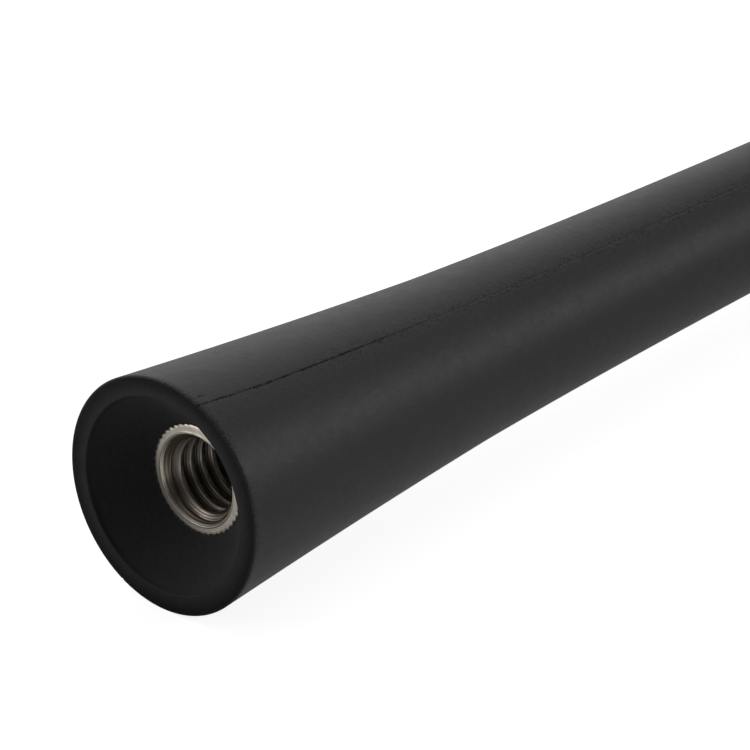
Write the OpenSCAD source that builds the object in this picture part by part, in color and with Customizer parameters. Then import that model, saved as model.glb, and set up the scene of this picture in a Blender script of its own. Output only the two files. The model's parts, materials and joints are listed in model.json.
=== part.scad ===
// Car mast aerial: a short flared rubber mast with a threaded insert in its foot.
// Every piece is drawn along the mast's own axis, with the foot's face at zero. The mast is
// then laid down as it comes to rest, on the rim of its foot and on its rounded tip.

/* [Sheath] */
// Whole length of the mast, foot to tip
mast_l = 230; // [150:1:400]
// Outer radius of the foot
foot_r = 8.14; // [7.6:0.02:12]
// Rounding of the outer edge of the foot
foot_edge_r = 0.2; // [0.1:0.05:0.8]
// Width of the flat lip round the recess
lip_w = 1.42; // [1:0.02:2]
// Width of the narrow ledge of rubber round the insert's face
ledge_w = 0.08; // [0.04:0.01:0.2]
// Chamfer on the inner edge of the lip
lip_chamfer = 0.12; // [0.05:0.01:0.2]
// Length of the flared skirt above the foot
skirt_l = 27.5; // [22:0.5:60]
// Radius at the top of the skirt
neck_r = 6; // [5.2:0.05:7.2]
// How far the skirt is hollowed between its two ends
skirt_bow = 0.1; // [0:0.02:0.4]
// How much radius the stem loses in the soft curve above the skirt
neck_drop = 0.86; // [0.2:0.02:1.2]
// Length over which that curve dies away
neck_fade = 22; // [10:1:40]
// Radius of the stem where the rounded tip begins
tip_r = 2.75; // [2.4:0.05:3.4]
// Rubber between the end of the core rod and the tip
tip_cover = 8; // [5:0.5:20]
// Turn about its own axis in which the laid mast comes to rest, with its parting plane at this angle
mast_turn = 24.2; // [0:0.1:360]

/* [Threaded insert] */
// Depth of the insert's face below the foot
face_depth = 3.24; // [2:0.02:6]
// Length of the insert
insert_l = 14; // [14:0.5:22]
// Outer radius over the knurl
insert_r = 3.84; // [3.6:0.02:4.6]
// Depth of the knurl's grooves
knurl_depth = 0.14; // [0.1:0.02:0.34]
// Number of teeth round the knurl
knurl_teeth = 46; // [24:1:72]
// Length of each knurled band
knurl_l = 4.5; // [3:0.25:5.5]
// Radius at the bottom of the groove that keeps the insert in the rubber
groove_r = 3.2; // [2.9:0.05:3.5]
// Width of that groove
groove_w = 1.5; // [1:0.1:2.5]
// Radius of the narrow rear end
rear_r = 2.4; // [2.25:0.05:3]
// Radius of the bore at the crests of its thread
bore_r = 2.5; // [2:0.05:2.7]
// Depth of the bore below the insert's face
bore_depth = 8.5; // [6:0.25:9]
// Radius of the smooth lead-in at the bore's mouth
mouth_r = 3.04; // [2.8:0.01:3.25]
// Depth of the smooth lead-in
mouth_depth = 0.35; // [0.2:0.05:2]
// Chamfer round the mouth
mouth_chamfer = 0.12; // [0.05:0.01:0.2]
// Depth of the socket for the core rod
socket_depth = 3; // [1.5:0.25:3.5]

/* [Core and winding] */
// Radius of the core rod
rod_r = 0.9; // [0.7:0.05:1.05]
// Radius of the aerial wire
wire_r = 0.25; // [0.15:0.01:0.3]
// Height of one turn of the winding
turn_pitch = 1.5; // [1.2:0.1:1.6]
// Number of turns in the winding
turns = 30; // [8:1:50]
// Height of the solder round the wire's foot
solder_h = 1.2; // [0.6:0.1:2]
// Thickness of the solder outside the wire
solder_wall = 0.25; // [0.1:0.05:0.35]
// Wall of the shrink sleeve
sleeve_wall = 0.2; // [0.1:0.05:0.3]
// Length of the sleeve's end that grips the bare rod
sleeve_grip = 3; // [1:0.5:6]
// Clearance between the rod, the wire, the solder and the sleeve
fit_gap = 0.05; // [0.02:0.01:0.08]

/* [Hidden] */
$fn = 96;
wire_fn = 24;
// How far a cutting tool reaches past the face that it opens
cut = 1;
// Half of the angle of a drill's point
drill_half_angle = 59;

// Where the laid mast touches: on the rounding of its rim, and on the dome of its tip
rim_r = foot_r - foot_edge_r;
tip_z = mast_l - tip_r;
contact_l = tip_z - foot_edge_r;
lean = acos((tip_r - foot_edge_r) / norm([contact_l, rim_r])) - atan2(contact_l, rim_r);
// Height of the foot's centre over the surface, and the middle of the laid mast's length
foot_h = rim_r * cos(lean) + foot_edge_r * sin(lean) + foot_edge_r;
foot_end_x = foot_edge_r * cos(lean) - rim_r * sin(lean) - foot_edge_r;
tip_end_x = tip_z * cos(lean) + tip_r;
mid_x = (foot_end_x + tip_end_x) / 2;

// Heights of the insert's bands along the mast
groove_z = face_depth + knurl_l;
band_z = groove_z + groove_w;
rear_z = band_z + knurl_l;
insert_top = face_depth + insert_l;
socket_r = rod_r + fit_gap;

// Radii round the core: the wire's centre line, the ring that makes half a turn, and the sleeve
coil_r = rod_r + fit_gap + wire_r;
ring_r = norm([coil_r, turn_pitch / 4]);
sleeve_r = ring_r + wire_r + fit_gap;
solder_bore_r = socket_r + fit_gap;
solder_r = coil_r + wire_r + solder_wall;
sleeve_foot_r = solder_r + fit_gap;

// Heights along the core, counted down from the top of the rod
rod_top = mast_l - tip_cover;
sleeve_neck_z = rod_top - sleeve_grip - (sleeve_r - socket_r);
winding_z = sleeve_neck_z - 2 * wire_r - turn_pitch * turns;
sleeve_step_z = insert_top + solder_h + wire_r;

// Outer surface of the sheath: a slightly hollow skirt, then a soft curve into a long taper
skirt_steps = 10;
stem_steps = 26;
stem_l = tip_z - skirt_l;
stem_fall = neck_r - neck_drop - tip_r;
function skirt_z(u) = foot_edge_r + (skirt_l - foot_edge_r) * u;
function skirt_at(u) = [foot_r + (neck_r - foot_r) * u - 4 * skirt_bow * u * (1 - u), skirt_z(u)];
function stem_at(h) = [
    neck_r - stem_fall * h / stem_l - neck_drop * (1 - exp(-h / neck_fade)),
    skirt_l + h
];
// The steps of the stem are short where it curves and long where it is nearly straight
skirt_outline = [for (i = [0:skirt_steps]) skirt_at(i / skirt_steps)];
stem_outline = [for (i = [1:stem_steps - 1]) stem_at(stem_l * pow(i / stem_steps, 2))];

// Turns the upright mast down onto its rim and its tip, with its foot to the left
module laid() {
    translate([-mid_x, 0, foot_h]) rotate([0, 90 + lean, 0]) rotate([0, 0, mast_turn]) children();
}

// Half of the mast's outline, closed along the axis, with a rounded foot and a domed tip
module mast_outline() {
    translate([rim_r, foot_edge_r]) intersection() {
        circle(r = foot_edge_r);
        translate([0, -foot_edge_r]) square(foot_edge_r);
    }
    square([rim_r, foot_edge_r]);
    polygon(concat([[0, foot_edge_r]], skirt_outline, stem_outline, [[tip_r, tip_z], [0, tip_z]]));
    translate([0, tip_z]) intersection() {
        circle(r = tip_r);
        square(tip_r);
    }
}

// Outline of the funnel that leads in to the insert's face
module recess_outline() {
    recess_r = foot_r - lip_w;
    polygon([
        [0, -cut], [recess_r + lip_chamfer + cut, -cut], [recess_r + lip_chamfer, 0],
        [recess_r, lip_chamfer], [insert_r + ledge_w, face_depth], [0, face_depth]
    ]);
}

// Outline of the knurl, with one sharp tooth and one groove for each tooth
module knurl_outline() {
    polygon([for (i = [0:2 * knurl_teeth - 1])
        (insert_r - knurl_depth * (i % 2)) * [cos(180 * i / knurl_teeth), sin(180 * i / knurl_teeth)]
    ]);
}

// Outer form of the insert, which the rubber is moulded round
module insert_body() {
    translate([0, 0, face_depth]) linear_extrude(knurl_l) knurl_outline();
    translate([0, 0, groove_z]) cylinder(r = groove_r, h = groove_w);
    translate([0, 0, band_z]) linear_extrude(knurl_l) knurl_outline();
    translate([0, 0, rear_z]) cylinder(r = rear_r, h = insert_top - rear_z);
}

// The insert's bore: a chamfered mouth, a smooth lead-in, the threaded length and the drill's point
module insert_bore() {
    point_l = bore_r / tan(drill_half_angle);
    translate([0, 0, face_depth]) rotate_extrude() polygon([
        [0, -cut], [mouth_r + mouth_chamfer + cut, -cut], [mouth_r + mouth_chamfer, 0],
        [mouth_r, mouth_chamfer], [mouth_r, mouth_depth], [bore_r, mouth_depth + mouth_r - bore_r],
        [bore_r, bore_depth], [0, bore_depth + point_l]
    ]);
}

// Profile of the shrink sleeve's face: wide over the solder, close over the winding, tight on
// the bare rod. The wall is 0 for its inner face.
function sleeve_face(wall) = [
    [sleeve_foot_r + wall, insert_top],
    [sleeve_foot_r + wall, sleeve_step_z],
    [sleeve_r + wall, sleeve_step_z + sleeve_foot_r - sleeve_r],
    [sleeve_r + wall, sleeve_neck_z],
    [socket_r + wall, sleeve_neck_z + sleeve_r - socket_r],
    [socket_r + wall, rod_top]
];
function backwards(list) = [for (i = [len(list) - 1:-1:0]) list[i]];

// The straight wire, from the insert's rear face up to the first turn
module feed_wire() {
    translate([coil_r, 0, insert_top]) cylinder(r = wire_r, h = winding_z - insert_top, $fn = wire_fn);
}

// One half turn of the winding: half a ring, tilted so that it climbs half a pitch
module half_turn() {
    translate([0, 0, turn_pitch / 4]) rotate([0, atan2(turn_pitch / 4, coil_r), 0])
        rotate_extrude(angle = 180) translate([ring_r, 0]) circle(r = wire_r, $fn = wire_fn);
}

// One-piece moulded rubber cover, with the space of the insert and the sleeve left out of it
module sheath() {
    color("#1c1d1e") laid() difference() {
        rotate_extrude() mast_outline();
        rotate_extrude() recess_outline();
        insert_body();
        rotate_extrude()
            polygon(concat([[0, insert_top]], sleeve_face(sleeve_wall), [[0, rod_top]]));
    }
}

// Turned and knurled metal insert that screws onto the stud of the aerial's base
module threaded_insert() {
    color("#b5b0a6") laid() difference() {
        insert_body();
        insert_bore();
        translate([0, 0, insert_top - socket_depth]) cylinder(r = socket_r, h = socket_depth + cut);
    }
}

// Springy glass-fibre rod that carries the wire
module core_rod() {
    rod_foot = insert_top - socket_depth;
    color("#d8d2b8") laid() translate([0, 0, rod_foot]) cylinder(r = rod_r, h = rod_top - rod_foot);
}

// One length of enamelled copper wire: straight up the rod, then wound round its upper part.
// Each half turn is turned round against the one below it, so that their ends meet.
module antenna_wire() {
    color("#b4622d") laid() {
        feed_wire();
        // The sharp bend into the first turn is a little thicker than the wire
        translate([coil_r, 0, winding_z]) sphere(r = wire_r + fit_gap / 2, $fn = wire_fn);
        for (i = [0:2 * turns - 1])
            translate([0, 0, winding_z + i * turn_pitch / 2]) rotate([0, 0, 180 * i]) half_turn();
    }
}

// Ring of solder that joins the wire to the insert
module solder_joint() {
    color("#c9ccd0") laid() difference() {
        translate([0, 0, insert_top]) rotate_extrude() polygon([
            [solder_bore_r, 0], [solder_r, 0], [solder_r, solder_h / 2],
            [solder_r - solder_wall / 2, solder_h], [solder_bore_r, solder_h]
        ]);
        feed_wire();
    }
}

// Heat-shrunk sleeve that holds the wire to the rod while the rubber is moulded
module shrink_sleeve() {
    color("#33363b") laid() rotate_extrude()
        polygon(concat(sleeve_face(0), backwards(sleeve_face(sleeve_wall))));
}

sheath();
threaded_insert();
core_rod();
antenna_wire();
solder_joint();
shrink_sleeve();
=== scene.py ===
# %% [markdown]
# # A car mast aerial
#
# The object is a short rubber aerial for a car, and the photo shows its foot end. This script
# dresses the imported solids: it loads them as a fixed frame, models the rubber cover and the
# threaded insert again as fine surfaces, gives every piece its finish, and sets up the floor, the
# light and the camera. Its main sizes are in millimetres and are those of the part's source, so
# that the new pieces stay where their solids are.

# %% Load the frame
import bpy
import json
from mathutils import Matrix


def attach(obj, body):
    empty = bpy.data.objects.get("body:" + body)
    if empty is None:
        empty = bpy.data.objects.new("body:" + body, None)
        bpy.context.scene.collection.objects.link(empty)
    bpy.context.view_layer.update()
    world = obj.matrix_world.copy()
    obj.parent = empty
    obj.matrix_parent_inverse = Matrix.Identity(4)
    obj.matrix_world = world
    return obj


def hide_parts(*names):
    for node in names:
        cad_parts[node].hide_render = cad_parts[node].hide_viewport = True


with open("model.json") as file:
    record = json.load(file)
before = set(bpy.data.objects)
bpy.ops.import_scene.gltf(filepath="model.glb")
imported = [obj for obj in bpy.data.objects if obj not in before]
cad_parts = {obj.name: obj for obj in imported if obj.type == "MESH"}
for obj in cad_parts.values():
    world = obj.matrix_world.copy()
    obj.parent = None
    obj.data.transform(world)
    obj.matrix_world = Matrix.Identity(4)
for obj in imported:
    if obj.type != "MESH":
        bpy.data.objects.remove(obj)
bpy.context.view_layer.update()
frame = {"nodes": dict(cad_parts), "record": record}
print("nodes:", sorted(frame["nodes"]))

# %% Tools and units
import bpy
import json
import math
import numpy as np
from mathutils import Matrix, Vector

MM = 0.001

# %% [markdown]
# ## Where the mast lies
#
# The mast lies on the rim of its foot and on its tip, so its own axis dips a little. The record's
# thread mount gives that axis, and the middle of the bore's wall on it. Everything below is worked
# out upright, in millimetres from the middle of the foot, and then turned into the frame by one
# matrix.

# %% The mast's own axes
face_depth, bore_r, bore_depth, mouth_r, mouth_depth = 3.24, 2.5, 8.5, 3.04, 0.35
cone_end = face_depth + mouth_depth + mouth_r - bore_r
bore_end = face_depth + bore_depth
thread_mid = (cone_end + bore_end) / 2

mounts = {m["name"]: m for m in frame["record"]["mounts"]}
to_tip = -Vector(mounts["thread"]["axis"])
foot_centre = Vector(mounts["thread"]["pos_m"]) - to_tip * thread_mid * MM
side = Vector((0, 1, 0))
down = side.cross(to_tip)
laid = Matrix.Translation(foot_centre) @ Matrix((down, side, to_tip)).transposed().to_4x4()
laid = laid @ Matrix.Scale(MM, 4)
laid_rows = np.array(laid)
print("the foot's centre is at", [round(c, 5) for c in foot_centre])

# %% [markdown]
# ## A turned surface
#
# Both pieces are bodies of revolution with something added: a parting line on the rubber, a knurl
# and a helical thread on the metal. A screw modifier could spin an outline, but it couldn't change
# the radius on the way round. So each surface is a function of two parameters instead, the row
# along the outline and the angle round the axis, and both are worked out as whole arrays.

# %% Make a mesh from a grid of radii and heights
def turned_piece(name, radius, height, angle):
    """A closed skin of revolution. Point (i, j) is at radius[i, j] from the axis, turned by
    angle[j], and at height[i, j] along it. The first and last rows each close on a pole."""
    rows, cols = radius.shape
    x = radius * np.cos(angle)
    y = radius * np.sin(angle)
    ring = np.stack([x, y, height], axis=-1).reshape(-1, 3)
    poles = np.array([[0, 0, height[0].mean()], [0, 0, height[-1].mean()]])
    points = np.vstack([ring, poles])
    points = points @ laid_rows[:3, :3].T + laid_rows[:3, 3]
    here = np.arange(rows * cols).reshape(rows, cols)
    onward = np.roll(here, -1, axis=1)
    quads = np.stack([here[:-1], here[1:], onward[1:], onward[:-1]], axis=-1).reshape(-1, 4)
    first, last = rows * cols, rows * cols + 1
    start_fan = np.stack([here[0], onward[0], np.full(cols, first)], axis=-1)
    end_fan = np.stack([onward[-1], here[-1], np.full(cols, last)], axis=-1)
    mesh = bpy.data.meshes.new(name)
    mesh.from_pydata(points, [], quads.tolist() + start_fan.tolist() + end_fan.tolist())
    mesh.polygons.foreach_set("use_smooth", np.ones(len(mesh.polygons), dtype=bool))
    mesh.update()
    piece = bpy.data.objects.new(name, mesh)
    bpy.context.scene.collection.objects.link(piece)
    triangles = 2 * len(quads) + 2 * cols
    print(f"{name}: {rows} rows of {cols} points, {triangles} triangles")
    return piece

# %% Stretches of an outline
def arc(centre, r, start, end, count):
    """Points of an arc in the outline: centre plus r times (cos, sin) of angles in degrees."""
    a = np.radians(np.linspace(start, end, count))
    return np.column_stack([centre[0] + r * np.cos(a), centre[1] + r * np.sin(a)])


def line(start, end, steps):
    """Evenly spaced points from start to end, without the first."""
    t = np.arange(1, steps + 1) / steps
    return np.asarray(start) + t[:, None] * (np.asarray(end) - np.asarray(start))

# %% [markdown]
# ## The rubber cover
#
# On the real mast the cover is one moulding: a flared skirt with a slightly hollow flank, a soft
# curve above it and a long straight taper. Its foot has a rounded edge, a flat lip, and a funnel
# that leads in to the metal. The outline is a list of stretches, each with its own formula.

# %% The cover's outside, from the tip to the foot's edge
mast_l, foot_r, tip_r = 230.0, 8.14, 2.75
skirt_l, neck_r, skirt_bow = 27.5, 6.0, 0.1
neck_drop, neck_fade = 0.86, 22.0
foot_edge_w, foot_edge_h = 0.4, 0.12
tip_z = mast_l - tip_r


def skirt_line(count):
    """The radius falls evenly from the foot to the neck, less a parabola of height skirt_bow."""
    u = np.linspace(1, 0, count)
    r = foot_r + (neck_r - foot_r) * u - 4 * skirt_bow * u * (1 - u)
    return np.column_stack([r, foot_edge_h + (skirt_l - foot_edge_h) * u])


def stem_line(count):
    """The radius falls evenly to the tip, less an exponential that dies away above the skirt."""
    h = (tip_z - skirt_l) * np.linspace(1, 0, count)[:-1] ** 2
    fall = neck_r - neck_drop - tip_r
    r = neck_r - fall * h / (tip_z - skirt_l) - neck_drop * (1 - np.exp(-h / neck_fade))
    return np.column_stack([r, skirt_l + h])


def foot_edge(count):
    """A quarter of an ellipse, wider than high, from the flank round to the lip's face."""
    a = np.linspace(0, np.pi / 2, count)[1:]
    r = foot_r - foot_edge_w * (1 - np.cos(a))
    return np.column_stack([r, foot_edge_h * (1 - np.sin(a))])


outer_outline = np.vstack([
    arc((0, tip_z), tip_r, start=88, end=4, count=16),
    stem_line(count=70),
    skirt_line(count=56),
    foot_edge(count=9),
])
print("the outside has", len(outer_outline), "rows")

# %% The lip and the funnel
lip_w, lip_chamfer, ledge_w, insert_r = 1.42, 0.12, 0.08, 3.84
recess_r = foot_r - lip_w

# The rubber meets the metal just below its face, so that the two never share a plane
tuck = 0.01
recess_outline = np.vstack([
    line((foot_r - foot_edge_w, 0), (recess_r + lip_chamfer, 0), steps=6),
    arc((recess_r + lip_chamfer, lip_chamfer), lip_chamfer, start=-98, end=-170, count=4),
    line((recess_r, lip_chamfer), (insert_r + ledge_w, face_depth - 2 * tuck), steps=16),
    [[insert_r + 0.7 * ledge_w, face_depth + tuck]],
])
print("the lip and the funnel have", len(recess_outline), "rows")

# %% [markdown]
# The cavity is the rest of the outline. It fits the insert's two knurled bands and the groove
# between them, and then the shrink sleeve over the solder, the winding and the rod's bare end.

# %% The bed of the insert
knurl_l, groove_r, groove_w = 4.5, 3.2, 1.5
insert_l, rear_r = 14.0, 2.4
groove_z = face_depth + knurl_l
band_z = groove_z + groove_w
rear_z = band_z + knurl_l
insert_top = face_depth + insert_l

knurl_bed = [[insert_r, face_depth + tuck], [insert_r, groove_z]]
groove_bed = [[groove_r, groove_z], [groove_r, band_z]]
band_bed = [[insert_r, band_z], [insert_r, rear_z]]
rear_bed = [[rear_r, rear_z], [rear_r, insert_top]]
print("the insert's bed goes from", face_depth, "to", insert_top, "mm")

# %% The bed of the sleeve, and the whole outline
rod_r, wire_r, fit_gap, turn_pitch = 0.9, 0.25, 0.05, 1.5
solder_h, solder_wall, sleeve_wall, sleeve_grip = 1.2, 0.25, 0.2, 3.0
tip_cover, pole_r = 8.0, 0.1
coil_r = rod_r + fit_gap + wire_r
sleeve_r = math.hypot(coil_r, turn_pitch / 4) + wire_r + fit_gap + sleeve_wall
sleeve_foot_r = coil_r + wire_r + solder_wall + fit_gap + sleeve_wall
sleeve_end_r = rod_r + fit_gap + sleeve_wall
sleeve_step_z = insert_top + solder_h + wire_r
rod_top = mast_l - tip_cover
sleeve_neck_z = rod_top - sleeve_grip - (sleeve_r - sleeve_end_r)

sleeve_bed = [
    [sleeve_foot_r, insert_top], [sleeve_foot_r, sleeve_step_z],
    [sleeve_r, sleeve_step_z + sleeve_foot_r - sleeve_r], [sleeve_r, sleeve_neck_z],
    [sleeve_end_r, sleeve_neck_z + sleeve_r - sleeve_end_r], [sleeve_end_r, rod_top],
    [pole_r, rod_top],
]
stretches = [outer_outline, recess_outline, knurl_bed, groove_bed, band_bed, rear_bed, sleeve_bed]
bed_is_knurled = [0, 0, 1, 0, 1, 0, 0]
sheath_outline = np.vstack(stretches)
bed_share = np.repeat(bed_is_knurled, [len(part) for part in stretches])
print("the cover's whole outline has", len(sheath_outline), "points")

# %% [markdown]
# ## The knurl
#
# The knurl is pressed into the metal, and the rubber is moulded into it, so both pieces share one
# wave. An even saw of teeth would look new. On the real insert the grooves are uneven, and rubber
# has filled some of them.

# %% The knurl's wave
knurl_depth, knurl_teeth = 0.14, 46
filled_at, filled_share, least_groove = math.radians(190), 0.75, 0.1


def knurl_wave(angle):
    """0 at the crest of a tooth and up to 1 in the groove beside it, straight between the two.
    Three sines of the angle make the grooves uneven, and rubber has half filled some of them."""
    phase = (angle * knurl_teeth / (2 * np.pi)) % 1
    uneven = 0.85 + 0.15 * np.sin(3 * angle + 0.6)
    uneven = uneven + 0.3 * np.sin(11 * angle + 2) * np.sin(7 * angle)
    filled = np.clip(np.cos(angle - filled_at), 0, 1) ** 2
    return (1 - np.abs(2 * phase - 1)) * np.clip(uneven - filled_share * filled, least_groove, 1)


print("the teeth are", round(2 * math.pi * insert_r / knurl_teeth, 3), "mm apart")

# %% [markdown]
# ## The parting line
#
# The two halves of the mould meet along the mast, and leave a fine dark seam on both sides of it.
# A dark line in the finish alone would lie flat on the rubber. So columns of the grid are crowded
# there, and a groove of less than a tenth of a millimetre is real geometry.

# %% The seam's groove
parting_at = math.radians(24.5)
seam_w, seam_depth = 0.045, 0.07
foot_bend, foot_bend_l = 0.27, 6.0
seam_lean, seam_lean_l = 0.27, 36.0


def seam_groove(angle, radius, height):
    """Depth of the seam: a bell curve of the distance from the parting plane. The plane leans a
    little and bends near the foot, in straight stretches of the height."""
    bend = np.interp(height, [0, foot_bend_l], [foot_bend, 0])
    lean = np.interp(height, [0, seam_lean_l], [0, -seam_lean])
    off = radius * np.sin(angle - parting_at) - bend - lean
    return seam_depth * np.exp(-((off / seam_w) ** 2))


print("the seam is up to", seam_depth, "mm deep")

# %% The cover's grid, with columns crowded at the seam
columns_per_tooth = 8
seam_half_span, seam_columns = 3.4, 41
tooth_angles = np.linspace(0, 2 * np.pi, knurl_teeth * columns_per_tooth, endpoint=False)
close = parting_at + np.radians(np.linspace(-seam_half_span, seam_half_span, seam_columns))
angles = np.concatenate([tooth_angles, close, close + np.pi]) % (2 * np.pi)
angles = np.unique(np.round(angles, 5))
radius = np.repeat(sheath_outline[:, :1], len(angles), axis=1)
height = np.repeat(sheath_outline[:, 1:], len(angles), axis=1)
print("the cover's grid is", radius.shape)

# %% Build the cover
# The seam is left off the inside and the foot's last rows, fades before the tip, and is faint
# above the skirt
edge_rows, tip_fade_l = 4, 20
faint_share, faint_from, faint_l = 0.25, 26, 12
on_outside = np.arange(len(sheath_outline)) < len(outer_outline) - edge_rows
fade = np.clip((tip_z - height) / tip_fade_l, 0, 1) * on_outside[:, None]
fade = fade * (faint_share + (1 - faint_share) * np.clip((faint_from - height) / faint_l, 0, 1))
radius = radius - seam_groove(angles, radius, height) * fade
radius = radius - knurl_depth * bed_share[:, None] * knurl_wave(angles)
sheath = turned_piece("moulded_sheath", radius, height, angles)

# %% [markdown]
# ## The threaded insert
#
# The insert is turned from brass and nickel plated. Its face is a flat ring with a knurled edge.
# The mouth of its bore has a burr, a small chamfer and a smooth lead-in, and below that is an M6
# thread with a pitch of 1 mm. The thread could be an array of rings, but rings don't climb. Here
# the depth of the groove is a wave of the height less the angle, which makes a true helix.

# %% The thread's wave
thread_root_r, thread_pitch, thread_runout = 3.0, 1.0, 0.8
root_half, crest_from = 1 / 16, 3 / 8


def thread_radius(z, angle):
    """A thread with flanks 64 degrees apart, root flats an eighth of the pitch wide and crest
    flats a quarter of it. d is the distance from the middle of the groove, in pitches: that of
    the height less the angle's climb."""
    turn = ((z - face_depth) / thread_pitch - angle / (2 * np.pi)) % 1
    d = np.abs(turn - 0.5)
    depth = 1 - np.clip((d - root_half) / (crest_from - root_half), 0, 1)
    depth = depth * np.clip((bore_end - z) / thread_runout, 0, 1)
    return bore_r + (thread_root_r - bore_r) * depth


print("the thread is", thread_root_r - bore_r, "mm deep")

# %% The insert's outline, from its rear socket round to its groove
socket_r, socket_depth, insert_pole_r = rod_r + fit_gap, 3.0, 0.05
socket_z = insert_top - socket_depth
back = np.vstack([
    line((insert_pole_r, socket_z), (socket_r, socket_z), steps=2),
    line((socket_r, socket_z), (socket_r, insert_top), steps=2),
    line((socket_r, insert_top), (rear_r, insert_top), steps=2),
    line((rear_r, insert_top), (rear_r, rear_z), steps=2),
])
knurled = np.vstack([
    line((rear_r, rear_z), (insert_r, rear_z), steps=1),
    line((insert_r, rear_z), (insert_r, band_z), steps=1),
])
neck = np.array([[groove_r, band_z], [groove_r, groove_z]])
print("the insert's back has", len(back) + len(knurled) + len(neck), "points")

# %% The insert's front, from its groove to the mouth of its bore
face_edge, mouth_chamfer = 0.05, 0.12
burr_r, burr_drop = 0.05, 0.01
mouth_rim_r = mouth_r + mouth_chamfer
front = np.array([
    [insert_r, groove_z],
    [insert_r, face_depth + 4 * face_edge],
    [insert_r, face_depth + face_edge],
    [insert_r - face_edge, face_depth],
])
flat_from = (insert_r - knurl_depth - face_edge, face_depth)
face = np.vstack([
    line(flat_from, (mouth_rim_r + 2 * burr_r, face_depth), steps=5),
    arc((mouth_rim_r + burr_r, face_depth + burr_drop), burr_r, start=-45, end=-150, count=5),
    line((mouth_rim_r, face_depth), (mouth_r, face_depth + mouth_chamfer), steps=3),
])
print("its front has", len(front) + len(face), "points")

# %% The bore, with the thread under the lead-in
rows_per_pitch = 22
drill_half_angle = math.radians(59)
cone_start = face_depth + mouth_chamfer
thread_z = np.arange(cone_start, bore_end, thread_pitch / rows_per_pitch)[1:]
cone_r = mouth_r - (mouth_r - bore_r) * (thread_z - cone_start) / (cone_end - cone_start)
point_z = bore_end + bore_r / math.tan(drill_half_angle)
drill_point = line((bore_r, bore_end), (insert_pole_r, point_z), steps=3)
deep = np.vstack([[[bore_r, bore_end]], drill_point])

# The thread only shows where it is cut deeper than the lead-in's cone
thread_rows = np.maximum(cone_r[:, None], thread_radius(thread_z[:, None], tooth_angles))
print("the bore has", len(thread_rows), "rows of thread")

# %% Build the insert
turned_parts = [back, knurled, neck, front, face]
part_is_knurled = [0, 1, 0, 1, 0]
plain = np.vstack(turned_parts)
knurl_share = np.repeat(part_is_knurled, [len(part) for part in turned_parts])
plain_radius = plain[:, :1] - knurl_depth * knurl_share[:, None] * knurl_wave(tooth_angles)
deep_radius = np.repeat(deep[:, :1], len(tooth_angles), axis=1)
radius = np.vstack([plain_radius, thread_rows, deep_radius])
height = np.concatenate([plain[:, 1], thread_z, deep[:, 1]])[:, None]
height = height.repeat(len(tooth_angles), 1)
insert = turned_piece("knurled_insert", radius, height, tooth_angles)

# %% [markdown]
# ## Finishes
#
# Every finish reads Object coordinates. A Mapping node turns them upright and into millimetres
# on the mast's own axis, so that rings run true round the bore and grain has its real size. Each
# node could be made and linked by hand, but with a few helpers a finish reads as its own recipe.

# %% Get a node tree, and feed a node
def tree_of(owner):
    """The node tree of a material or of the world."""
    owner.use_nodes = True
    return owner.node_tree


def feed(tree, node, inputs):
    """Gives a node its inputs, by name or by number. Each is a number, a place or a colour, or
    the socket of another node, which is linked."""
    for name, value in inputs.items():
        socket = node.inputs[name]
        if isinstance(value, bpy.types.NodeSocket):
            tree.links.new(value, socket)
        elif socket.type == "RGBA":
            socket.default_value = (*value, 1)
        else:
            socket.default_value = value
    return node

# %% Start a finish, and put it on a piece
def new_finish(name):
    """A material, its node tree, and a place in millimetres on the mast's own upright axes."""
    finish = bpy.data.materials.new(name)
    tree = tree_of(finish)
    upright = tree.nodes.new("ShaderNodeMapping")
    upright.vector_type = "TEXTURE"
    feed(tree, upright, {
        "Vector": tree.nodes.new("ShaderNodeTexCoord").outputs["Object"],
        "Location": foot_centre,
        "Rotation": laid.to_3x3().normalized().to_euler(),
        "Scale": (MM, MM, MM),
    })
    return finish, tree, upright.outputs["Vector"]


def give(piece, finish, looks):
    """Feeds the finish's shader, and puts the finish on every slot of a piece. A piece without
    a slot gets one."""
    tree = finish.node_tree
    feed(tree, tree.nodes["Principled BSDF"], looks)
    if not piece.data.materials:
        piece.data.materials.append(finish)
    for place in piece.material_slots:
        place.material = finish
    print(finish.name, "on", piece.name, "has", len(tree.nodes), "nodes")

# %% Numbers that vary over a surface
def noise(tree, where, scale, detail=3.0, roughness=0.5):
    """Noise with features about 1/scale mm across."""
    inputs = {"Vector": where, "Scale": scale, "Detail": detail, "Roughness": roughness}
    return feed(tree, tree.nodes.new("ShaderNodeTexNoise"), inputs).outputs["Fac"]


def ramp(tree, value, low, high, start, end):
    """A number that goes from low to high while the value goes from start to end."""
    inputs = {"Value": value, "From Min": start, "From Max": end, "To Min": low, "To Max": high}
    return feed(tree, tree.nodes.new("ShaderNodeMapRange"), inputs).outputs["Result"]


def maths(tree, operation, first, second=0.0):
    """The result of one Math node. Either value may be a number or a socket."""
    node = tree.nodes.new("ShaderNodeMath")
    node.operation = operation
    return feed(tree, node, {0: first, 1: second}).outputs[0]


def total(tree, first, *others):
    """All the values added up, one after another."""
    for other in others:
        first = maths(tree, "ADD", first, other)
    return first


def product(tree, first, *others):
    """All the values multiplied, one after another."""
    for other in others:
        first = maths(tree, "MULTIPLY", first, other)
    return first

# %% Distances on the mast's axes
def vector_maths(tree, operation, inputs):
    """The outputs of one Vector Math node."""
    node = tree.nodes.new("ShaderNodeVectorMath")
    node.operation = operation
    return feed(tree, node, inputs).outputs


def scaled(tree, where, scale):
    """A place with each of its three parts multiplied by a number of its own."""
    return vector_maths(tree, "MULTIPLY", {0: where, 1: scale})["Vector"]


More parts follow.
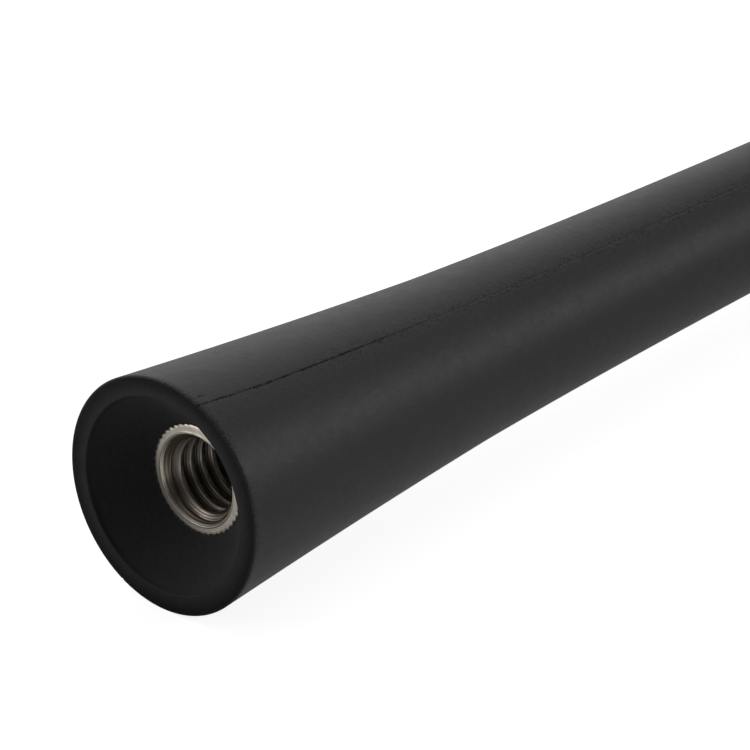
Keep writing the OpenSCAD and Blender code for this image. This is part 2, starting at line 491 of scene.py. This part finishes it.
def along(tree, where, direction):
    """The distance of a place along a direction, as the dot product of the two."""
    return vector_maths(tree, "DOT_PRODUCT", {0: where, 1: direction})["Value"]


def reach_of(tree, where):
    """The distance of a place from the mast's axis: the length of its two cross parts."""
    cross = scaled(tree, where, (1, 1, 0))
    return vector_maths(tree, "LENGTH", {0: cross})["Value"]

# %% [markdown]
# ## Moulded rubber
#
# The mould left the rubber satin on the flank, with an even fine grain. The lip and the funnel are
# duller. Their colour holds painted light and shade: paler in the funnel, as a painted lift of
# light, darker on the lip and darkest at the foot's outer edge, as painted shade. Separate
# materials would leave a hard line where they meet. One material can hold all that, if masks tell
# the places apart: each is a ramp of the distance from the axis, from the foot or from the seam.

# %% Where the rubber differs
rubber, tree, where = new_finish("moulded_rubber")
reach = reach_of(tree, where)
from_foot = along(tree, where, (0, 0, 1))

# The flank narrows upwards. With its slope added back, one limit parts it from the lip's face
flank_slope = 0.09
cone = total(tree, reach, along(tree, where, (0, 0, flank_slope)))
on_face = ramp(tree, cone, 1, 0, foot_r - 0.16, foot_r - 0.04)
on_flank = ramp(tree, on_face, 1, 0, 0, 1)
to_edge = ramp(tree, cone, 0, 1, foot_r - 1.1, foot_r - 0.4)
# The outer ring of the foot's face, where painted shade darkens the rubber
edge_shade_share = product(tree, on_face, to_edge)
print("the masks of the face take", len(tree.nodes), "nodes")

# %% [markdown]
# The seam's dark line is painted shade of its slit, on top of the real groove. It follows the same
# bent and leaning plane as the groove. Noise makes it ragged and breaks it up. It fades towards
# the top of the skirt, and dark specks lie on both its sides.

# %% The seam's ragged dark line
line_half_w, line_soft_w, ragged_by = 0.035, 0.08, 0.09
seam_side = (-math.sin(parting_at), math.cos(parting_at), 0)
ragged = ramp(tree, noise(tree, where, 5.0, 4.0, 0.65), -ragged_by, ragged_by, 0.36, 0.64)
bend = ramp(tree, from_foot, -foot_bend, 0, 0, foot_bend_l)
lean = ramp(tree, from_foot, 0, seam_lean, 0, seam_lean_l)
offset = total(tree, along(tree, where, seam_side), ragged)
offset = total(tree, offset, total(tree, bend, lean))
to_seam = maths(tree, "ABSOLUTE", offset)
painted_seam_shade = ramp(tree, to_seam, 1, 0, line_half_w, line_soft_w)
patchy = ramp(tree, noise(tree, where, 1.3, 2.0), 0.4, 1, 0.35, 0.55)
nearness = ramp(tree, from_foot, 1, 0.15, 13, 27)
seam_share = product(tree, painted_seam_shade, product(tree, patchy, nearness), on_flank)
print("with the seam there are", len(tree.nodes), "nodes")

# %% Dark specks along the seam
spots = ramp(tree, noise(tree, where, 4.6, 3.0, 0.6), 0, 0.6, 0.525, 0.635)
spot_band = ramp(tree, to_seam, 1, 0, 0.1, 1.0)
spot_height = ramp(tree, from_foot, 0, 1, 4, 12)
spots = product(tree, spots, spot_band, spot_height, on_flank)
seam_share = maths(tree, "MAXIMUM", seam_share, spots)
print("with the specks there are", len(tree.nodes), "nodes")

# %% A small nick beside the seam
# The nick's dark colour is painted shade of a small cut
nick_y, nick_start, nick_end = -2.5, 0.55, 1.45
to_nick = total(tree, along(tree, where, (0, 1, 0)), -nick_y, ragged)
nick_line = ramp(tree, maths(tree, "ABSOLUTE", to_nick), 1, 0, 0.03, 0.08)
nick_share = product(
    tree, nick_line,
    ramp(tree, from_foot, 0, 1, nick_start, nick_start + 0.2),
    ramp(tree, from_foot, 0.9, 0, nick_end - 0.4, nick_end),
    ramp(tree, along(tree, where, (1, 0, 0)), 1, 0, -2, -1),
)
seam_share = maths(tree, "MAXIMUM", seam_share, nick_share)
print("the nick is", round(nick_end - nick_start, 2), "mm long")

# %% Tones of the rubber
flank_dark, flank_pale = (0.009, 0.0091, 0.0098), (0.034, 0.0342, 0.0358)
# The face's tones, paler and bluer than the flank's, are a painted lift of light in the funnel
face_dark, face_pale = (0.021, 0.0216, 0.0240), (0.048, 0.0492, 0.0545)


def blend(tree, share, first, second):
    """A colour between two others. Either may be a colour or a socket."""
    node = tree.nodes.new("ShaderNodeMix")
    node.data_type = "RGBA"
    return feed(tree, node, {0: share, 6: first, 7: second}).outputs[2]


grain = noise(tree, where, 5.5, 4.0, 0.7)
grain_share = ramp(tree, grain, 0, 1, 0.3, 0.7)
flank_tone = blend(tree, grain_share, flank_dark, flank_pale)
lit_face_tone = blend(tree, grain_share, face_dark, face_pale)
print("with the tones there are", len(tree.nodes), "nodes")

# %% Dust, pale chips, and painted shade on the lip, the edge and the seam over the tones
dust, chip_pale = (0.13, 0.13, 0.125), (0.11, 0.11, 0.108)
# The two darker tones here are painted shade on the lip and at the foot's outer edge
lip_shade_dark, edge_shade_dark = (0.008, 0.0082, 0.0092), (0.005, 0.005, 0.0056)
shade_and_speck_black = (0.001, 0.001, 0.001)

specks = feed(tree, tree.nodes.new("ShaderNodeTexVoronoi"), {"Vector": where, "Scale": 1.1})
speck_share = ramp(tree, specks.outputs["Distance"], 0.6, 0.0, 0.02, 0.05)
dusty = blend(tree, speck_share, flank_tone, dust)
chips = ramp(tree, noise(tree, where, 7.0, 2.0), 0, 0.8, 0.54, 0.66)
near_edge = ramp(tree, from_foot, 1, 0, 0.15, 1.1)
chipped = blend(tree, product(tree, chips, near_edge), dusty, chip_pale)
faced = blend(tree, on_face, chipped, lit_face_tone)
# Painted shade on the lip and on the foot's outer edge
lip_share = ramp(tree, from_foot, 0.75, 0, 0.1, 0.4)
lipped = blend(tree, product(tree, lip_share, on_face), faced, lip_shade_dark)
edged = blend(tree, edge_shade_share, lipped, edge_shade_dark)
# The near-black here paints the seam's line and the nick as shade, and the specks beside them
rubber_colour = blend(tree, seam_share, edged, shade_and_speck_black)
print("with the colour there are", len(tree.nodes), "nodes")

# %% [markdown]
# The flank's roughness is cloudy and a little grainy. The face and the seam are rougher, and the
# lip less so than the funnel. The grain and the pores are bumps, because they are far too fine for
# the mesh.

# %% The rubber's roughness
cloud = noise(tree, where, 1.1, 5.0, 0.6)
clouded = ramp(tree, cloud, 0.42, 0.48, 0.3, 0.7)
grained = ramp(tree, grain, -0.06, 0.06, 0.3, 0.7)
dull = ramp(tree, maths(tree, "MAXIMUM", on_face, seam_share), 0, 0.40, 0, 1)
lip_ring = ramp(tree, to_edge, 1, 0, 0, 1)
on_lip = product(tree, ramp(tree, from_foot, 1, 0, 0.1, 0.4), lip_ring)
smoother = ramp(tree, on_lip, 0, -0.18, 0, 1)
rubber_roughness = total(tree, clouded, grained, dull, smoother)
print("with the roughness there are", len(tree.nodes), "nodes")

# %% The rubber's grain and pores
def bump(tree, height, depth, under=None):
    """Bumps whose full height is depth in millimetres, on top of the bumps under them."""
    inputs = {"Height": height, "Distance": depth * MM}
    if under:
        inputs["Normal"] = under
    return feed(tree, tree.nodes.new("ShaderNodeBump"), inputs).outputs["Normal"]


fine = bump(tree, grain, 0.014)
pores = bump(tree, noise(tree, where, 2.2, 2.0), 0.016, fine)
give(sheath, rubber, {
    "Base Color": rubber_colour,
    "Roughness": rubber_roughness,
    "Normal": pores,
})

# %% [markdown]
# ## Nickel-plated brass
#
# The plating is bright on the face. The thread's crests carry a painted highlight, and its
# grooves painted shade in dark brown. One side of its face has painted shade in grey, where the
# funnel hides it, and its lead-in is browner. Each could be a material of its own, but ramps of
# the height and of the reach part them softly, as wear does.

# %% The plating's face and lead-in
nickel_bright, nickel_worn = (0.90, 0.84, 0.70), (0.70, 0.64, 0.57)
# The grey is painted shade on one side of the face
shade_grey, lead_in_brown = (0.27, 0.26, 0.24), (0.42, 0.35, 0.28)
shade_side = (0.6, 0.8, 0)

plated, tree, where = new_finish("plated_brass")
reach = reach_of(tree, where)
from_foot = along(tree, where, (0, 0, 1))
smudge = noise(tree, where, 1.6, 4.0)
surface = blend(tree, ramp(tree, smudge, 0, 1, 0.35, 0.7), nickel_bright, nickel_worn)
# Painted shade in grey on the face's side that the funnel hides
shaded_side = ramp(tree, along(tree, where, shade_side), 0, 0.75, 1.6, 3.5)
outer = ramp(tree, reach, 0, 1, mouth_rim_r + 0.08, mouth_rim_r + 0.16)
surface = blend(tree, product(tree, shaded_side, outer), surface, shade_grey)
mouth = ramp(tree, from_foot, 0, 1, face_depth + 0.02, face_depth + 0.12)
lead_in = blend(tree, mouth, surface, lead_in_brown)
print("the face and the lead-in take", len(tree.nodes), "nodes")

# %% The thread's crests and grooves
# The crests' bright tone is a painted highlight, and the grooves' dark brown is painted shade
painted_crest_highlight, groove_shade_brown = (0.72, 0.69, 0.63), (0.22, 0.19, 0.16)
off_crest = ramp(tree, reach, 0, 1, bore_r + 0.02, bore_r + 0.12)
threads = blend(tree, off_crest, painted_crest_highlight, groove_shade_brown)
inside = ramp(tree, from_foot, 0, 1, cone_end - 0.35, cone_end)
plating_colour = blend(tree, inside, lead_in, threads)
print("with the thread there are", len(tree.nodes), "nodes")

# %% [markdown]
# Fine rings from the turning tool show in the mouth of the bore. They run round the axis, so a
# ring wave on the upright place draws them, as bumps of under a hundredth of a millimetre.

# %% The plating's tool marks
rings = tree.nodes.new("ShaderNodeTexWave")
rings.wave_type = "RINGS"
rings.rings_direction = "Z"
feed(tree, rings, {"Vector": where, "Scale": 2.0, "Distortion": 0.6, "Detail": 1.0})
tool_marks = product(tree, rings.outputs["Fac"], ramp(tree, mouth, 0.2, 1, 0, 1))
give(insert, plated, {
    "Base Color": plating_colour,
    "Metallic": 1.0,
    "Roughness": ramp(tree, smudge, 0.28, 0.44, 0.3, 0.7),
    "Normal": bump(tree, tool_marks, 0.009),
})

# %% [markdown]
# ## The pieces inside
#
# The rod, the wire, the solder and the sleeve are sealed in the rubber. They could be modelled
# again too, but their solids already have the right form. So they stay, and each gets its finish.

# %% Glass fibre, its strands drawn out along the rod
glass_fibre, tree, where = new_finish("glass_fibre")
strands = noise(tree, scaled(tree, where, (9.0, 9.0, 0.15)), 1.0, 4.0)
give(frame["nodes"]["core_rod"], glass_fibre, {
    "Base Color": blend(tree, strands, (0.62, 0.56, 0.40), (0.80, 0.76, 0.62)),
    "Roughness": 0.35,
    "Normal": bump(tree, strands, 0.02),
})

# %% Enamelled copper
copper, tree, where = new_finish("enamelled_copper")
give(frame["nodes"]["antenna_wire"], copper, {
    "Base Color": blend(tree, noise(tree, where, 0.8), (0.60, 0.24, 0.10), (0.42, 0.15, 0.06)),
    "Metallic": 1.0,
    "Coat Weight": 0.6,
    "Roughness": ramp(tree, noise(tree, where, 5.0), 0.2, 0.35, 0.3, 0.7),
})

# %% Solder, wrinkled as it set
solder, tree, where = new_finish("tin_solder")
wrinkle = noise(tree, where, 4.0)
give(frame["nodes"]["solder_joint"], solder, {
    "Base Color": blend(tree, wrinkle, (0.66, 0.67, 0.69), (0.50, 0.51, 0.53)),
    "Metallic": 1.0,
    "Roughness": 0.38,
    "Normal": bump(tree, wrinkle, 0.03),
})

# %% Shrunk plastic
shrunk, tree, where = new_finish("shrunk_plastic")
ripple = noise(tree, where, 1.2)
give(frame["nodes"]["shrink_sleeve"], shrunk, {
    "Base Color": blend(tree, ripple, (0.020, 0.022, 0.026), (0.034, 0.036, 0.042)),
    "Roughness": 0.5,
    "Normal": bump(tree, ripple, 0.05),
})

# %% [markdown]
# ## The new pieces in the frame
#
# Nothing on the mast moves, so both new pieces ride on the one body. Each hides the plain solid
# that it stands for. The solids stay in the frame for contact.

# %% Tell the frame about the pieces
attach(sheath, "root")
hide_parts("sheath")
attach(insert, "root")
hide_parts("threaded_insert")

# %% [markdown]
# ## The floor
#
# The photo shows the mast on plain white. A white floor lit to pure white would need so much
# light that the rubber would wash out. So the floor is a plain pale grey to all light that bounces
# off it, and only looks brighter to the camera and in reflections, where it keeps its shadow. What
# it adds in reflections is a gradient that was matched to the photo: brighter further out from the
# foot, least just before it, and bright again beside the mast.

# %% The floor's sheet
floor_half = 3.0
floor_mesh = bpy.data.meshes.new("floor")
floor_mesh.from_pydata([(-floor_half, -floor_half, 0), (floor_half, -floor_half, 0),
                        (floor_half, floor_half, 0), (-floor_half, floor_half, 0)],
                       [], [(0, 1, 2, 3)])
floor = bpy.data.objects.new("floor", floor_mesh)
bpy.context.scene.collection.objects.link(floor)
print("the floor is", 2 * floor_half, "m wide")

# %% The floor's paper
lit_grey, seen_grey, camera_lift = (0.6, 0.6, 0.6), (0.8, 0.8, 0.8), 0.87
foot_x = foot_centre[0]
paper = bpy.data.materials.new("white_paper")
tree = tree_of(paper)
path = tree.nodes.new("ShaderNodeLightPath")
floor_place = tree.nodes.new("ShaderNodeTexCoord").outputs["Object"]
floor_x = along(tree, floor_place, (1, 0, 0))
before_foot = ramp(tree, floor_x, 0.36, 0.02, foot_x - 0.026, foot_x)
beside_mast = ramp(tree, floor_x, 0.0, 0.27, foot_x, foot_x + 0.003)
mirrored = product(tree, total(tree, before_foot, beside_mast), path.outputs["Is Glossy Ray"])
lift = tree.nodes.new("ShaderNodeMath")
lift.operation = "MULTIPLY_ADD"
feed(tree, lift, {0: path.outputs["Is Camera Ray"], 1: camera_lift, 2: mirrored})
give(floor, paper, {
    "Base Color": blend(tree, path.outputs["Is Camera Ray"], lit_grey, seen_grey),
    "Roughness": 1.0,
    "Specular IOR Level": 0.0,
    "Emission Color": (1, 1, 1),
    "Emission Strength": lift.outputs[0],
})

# %% [markdown]
# ## The light
#
# One even light would leave the flank flat. So the room is brighter behind the mast than before
# it, as the camera stands, and the camera itself sees plain white. Two large soft lamps add the
# highlights: one on the right of the mast in the photo, and one on its left.

# %% The room's light
world = bpy.data.worlds.new("studio")
bpy.context.scene.world = world
tree = tree_of(world)
sky = tree.nodes["Background"]
path = tree.nodes.new("ShaderNodeLightPath")
direction = tree.nodes.new("ShaderNodeTexCoord").outputs["Generated"]
room_level = ramp(tree, along(tree, direction, (0.2, 0.3, 0.0)), 0.03, 0.63, -0.24, 0.36)
glow = ramp(tree, along(tree, direction, (0.71, 0.70, 0.0)), 0.0, 0.28, 0.4, 0.95)
level = total(tree, room_level, glow)
seen = tree.nodes.new("ShaderNodeMix")
feed(tree, seen, {0: path.outputs["Is Camera Ray"], 2: level, 3: 1.0})
feed(tree, sky, {"Strength": seen.outputs[0], "Color": (1, 1, 1)})
print("the room's light has", len(tree.nodes), "nodes")

# %% Two soft lamps
lamp_distance, lamp_size = 1.2, 0.5


def soft_lamp(name, toward, radiance):
    """A square soft lamp in a direction from the foot. Its power is its radiance times pi times
    its area."""
    light = bpy.data.lights.new(name, "AREA")
    light.size = lamp_size
    light.energy = radiance * math.pi * lamp_size ** 2
    lamp = bpy.data.objects.new(name, light)
    toward = Vector(toward).normalized()
    lamp.location = foot_centre + toward * lamp_distance
    lamp.rotation_euler = (-toward).to_track_quat("-Z", "Y").to_euler()
    bpy.context.scene.collection.objects.link(lamp)
    print(name, "gives", round(light.energy, 3), "W")


soft_lamp("side_lamp", (0.686, -0.64, 0.345), 2.2)
soft_lamp("back_lamp", (-0.69, 0.60, 0.15), 1.6)

# %% [markdown]
# ## The camera
#
# The photo was matched with a long lens. The mast's outline gives the height that the camera
# looks down from and how far the mast is turned from it, and the foot's width gives the distance.

# %% The camera
photo_side, lens_px, sensor_mm = 750, 5000, 36
foot_pixel = (161.6, 496.9)
foot_distance = 318.6 * MM
camera_height = math.radians(26.78)
camera_turn = math.radians(48.29)

forward = Vector((math.sin(camera_turn) * math.cos(camera_height),
                  math.cos(camera_turn) * math.cos(camera_height), -math.sin(camera_height)))
right = Vector((math.cos(camera_turn), -math.sin(camera_turn), 0))
up = right.cross(forward)
across = (foot_pixel[0] - photo_side / 2) / lens_px * foot_distance
below = (foot_pixel[1] - photo_side / 2) / lens_px * foot_distance
camera_data = bpy.data.cameras.new("camera")
camera_data.sensor_width = sensor_mm
camera_data.lens = sensor_mm * lens_px / photo_side
camera_data.clip_start = 0.01
camera = bpy.data.objects.new("camera", camera_data)
camera.location = foot_centre - forward * foot_distance - right * across + up * below
camera.rotation_euler = forward.to_track_quat("-Z", "Y").to_euler()
bpy.context.scene.collection.objects.link(camera)
bpy.context.scene.camera = camera
bpy.context.scene.view_settings.view_transform = "Standard"
print("camera at", [round(c, 4) for c in camera.location])
